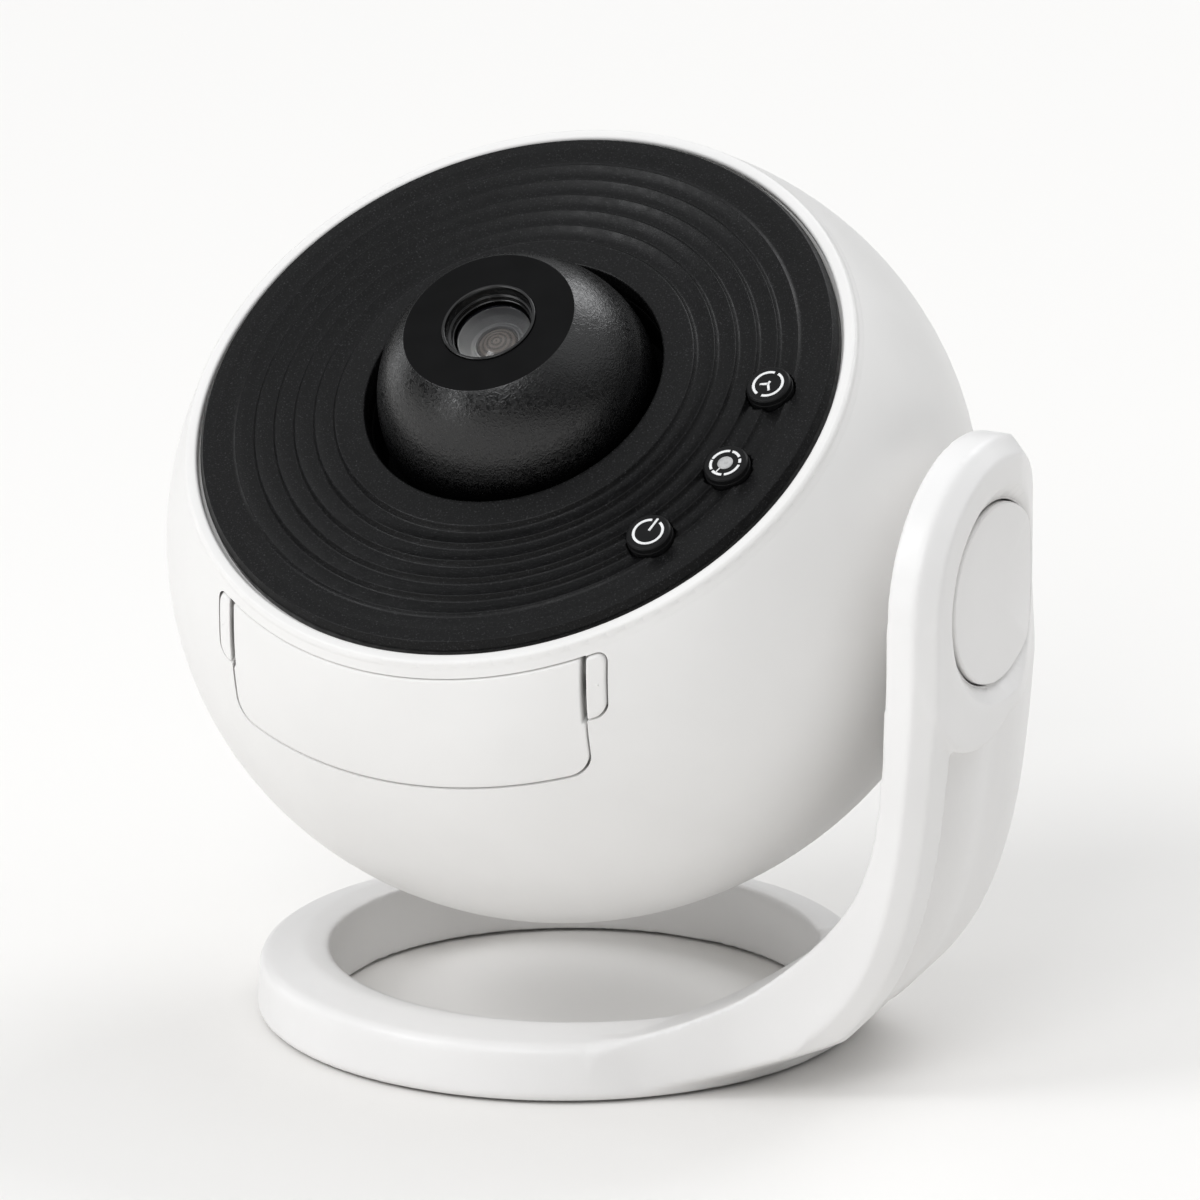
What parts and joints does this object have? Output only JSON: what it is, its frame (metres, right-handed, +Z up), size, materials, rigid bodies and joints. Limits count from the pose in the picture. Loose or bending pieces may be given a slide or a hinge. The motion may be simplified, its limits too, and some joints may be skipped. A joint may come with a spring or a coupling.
{
  "type": "planetarium projector",
  "caption": "Tilting ball-shaped star projector: white flattened ball with rippled black face, focus dome, press keys and film drawer, held by one side arm on a ring foot.",
  "frame": {"origin": "on the floor under the centre of the hole of the foot ring and of the ball, in the plane of the foot pad's underside", "axes": "+Z up, -Y towards the front where the face leans and the drawer opens, +X towards the arm, along the pivot axis"},
  "size_m": [0.174, 0.1561, 0.1705],
  "materials": {
    "shell_white": "satin white moulding",
    "stand_white": "satin white moulding",
    "plate_black": "fine-grained black moulding",
    "inner_black": "matt black, light-tight",
    "gloss_black": "polished black ring",
    "key_black": "black key with printed white icon",
    "lens_glass": "coated optical glass",
    "bright_ring": "turned bright ring",
    "spring_steel": "spring steel",
    "steel": "plated steel",
    "rubber_black": "soft black rubber",
    "pcb_green": "circuit board",
    "part_grey": "grey inner moulding",
    "low_friction": "low-friction washer plastic",
    "heat_alu": "extruded aluminium",
    "phosphor": "silicone-covered lamp chip",
    "film": "dark star film",
    "motor_can": "pressed motor can"
  },
  "bodies": {
    "stand": {"stand": "stand_white", "base_cover": "stand_white", "base_screws": "steel", "base_pad": "rubber_black", "pivot_shaft": "steel", "pivot_nut": "steel", "spring_washer": "spring_steel", "friction_washers": "low_friction", "stop_pin": "steel", "pivot_cap": "stand_white"},
    "ball": {"housing_shell": "shell_white", "rear_cap": "shell_white", "faceplate": "plate_black", "dome_well": "inner_black", "button_board": "pcb_green", "button_switches": "part_grey", "button_board_screws": "steel", "tray_rails": "part_grey", "drive_motor": "motor_can", "motor_screws": "steel", "chassis": "inner_black", "chassis_screws": "steel", "condenser_lens": "lens_glass", "led_board": "heat_alu", "led_emitter": "phosphor", "heat_sink": "heat_alu", "lamp_screws": "steel", "main_board": "pcb_green", "main_board_screws": "steel", "power_inlet": "gloss_black", "pivot_hub": "stand_white", "hub_screws": "steel", "cap_screws": "steel", "well_screws": "steel"},
    "drawer": {"drawer_tray": "inner_black", "drawer_front": "shell_white"},
    "latch_left": {"latch_left": "shell_white"},
    "latch_right": {"latch_right": "shell_white"},
    "carrier": {"disc_carrier": "part_grey", "film_frame": "inner_black", "film_sheet": "film"},
    "roller": {"drive_roller": "part_grey", "roller_tyre": "rubber_black"},
    "dome": {"focus_dome": "plate_black", "dome_clip": "spring_steel", "lens_bezel": "gloss_black"},
    "lens": {"lens_barrel": "inner_black", "front_lens": "lens_glass", "lens_stop": "bright_ring", "rear_lens": "lens_glass"},
    "key_timer": {"button_timer": "key_black"},
    "key_rotate": {"button_rotate": "key_black"},
    "key_power": {"button_power": "key_black"}
  },
  "joints": [
    {"name": "ball_tilt", "type": "hinge", "parent": "stand", "child": "ball", "pos_m": [0, 0, 0.0994], "axis": [-1, 0, 0], "range_deg": [-55.4, 124.6]},
    {"name": "drawer_slide", "type": "slide", "parent": "ball", "child": "drawer", "axis": [0, -0.8231, -0.5678], "range_m": [0, 0.075]},
    {"name": "latch_left_press", "type": "slide", "parent": "drawer", "child": "latch_left", "axis": [0.831, -0.4579, -0.3159], "range_m": [0, 0.001], "stiffness_N_per_m": 700, "springref_m": -0.0003},
    {"name": "latch_right_press", "type": "slide", "parent": "drawer", "child": "latch_right", "axis": [-0.831, -0.4579, -0.3159], "range_m": [0, 0.001], "stiffness_N_per_m": 700, "springref_m": -0.0003},
    {"name": "disc_spin", "type": "hinge", "parent": "drawer", "child": "carrier", "pos_m": [0, 0, 0.0994], "axis": [0, -0.5678, 0.8231], "continuous": true},
    {"name": "roller_spin", "type": "hinge", "parent": "ball", "child": "roller", "pos_m": [0, 0.0198, 0.1359], "axis": [0, -0.5678, 0.8231], "continuous": true},
    {"name": "focus_turn", "type": "hinge", "parent": "ball", "child": "dome", "pos_m": [0, 0, 0.0994], "axis": [0, -0.5678, 0.8231], "range_deg": [-60, 60]},
    {"name": "lens_focus", "type": "slide", "parent": "ball", "child": "lens", "axis": [0, -0.5678, 0.8231], "range_m": [-0.0015, 0.0015]},
    {"name": "timer_press", "type": "slide", "parent": "ball", "child": "key_timer", "axis": [0, 0.5678, -0.8231], "range_m": [0, 0.0008], "stiffness_N_per_m": 1200, "springref_m": -0.0002},
    {"name": "rotate_press", "type": "slide", "parent": "ball", "child": "key_rotate", "axis": [0, 0.5678, -0.8231], "range_m": [0, 0.0008], "stiffness_N_per_m": 1200, "springref_m": -0.0002},
    {"name": "power_press", "type": "slide", "parent": "ball", "child": "key_power", "axis": [0, 0.5678, -0.8231], "range_m": [0, 0.0008], "stiffness_N_per_m": 1200, "springref_m": -0.0002}
  ],
  "couplings": [
    {"joint": "roller_spin", "follows": "disc_spin", "ratio": -6.4},
    {"joint": "focus_turn", "follows": "lens_focus", "rad_per_m": 698}
  ]
}
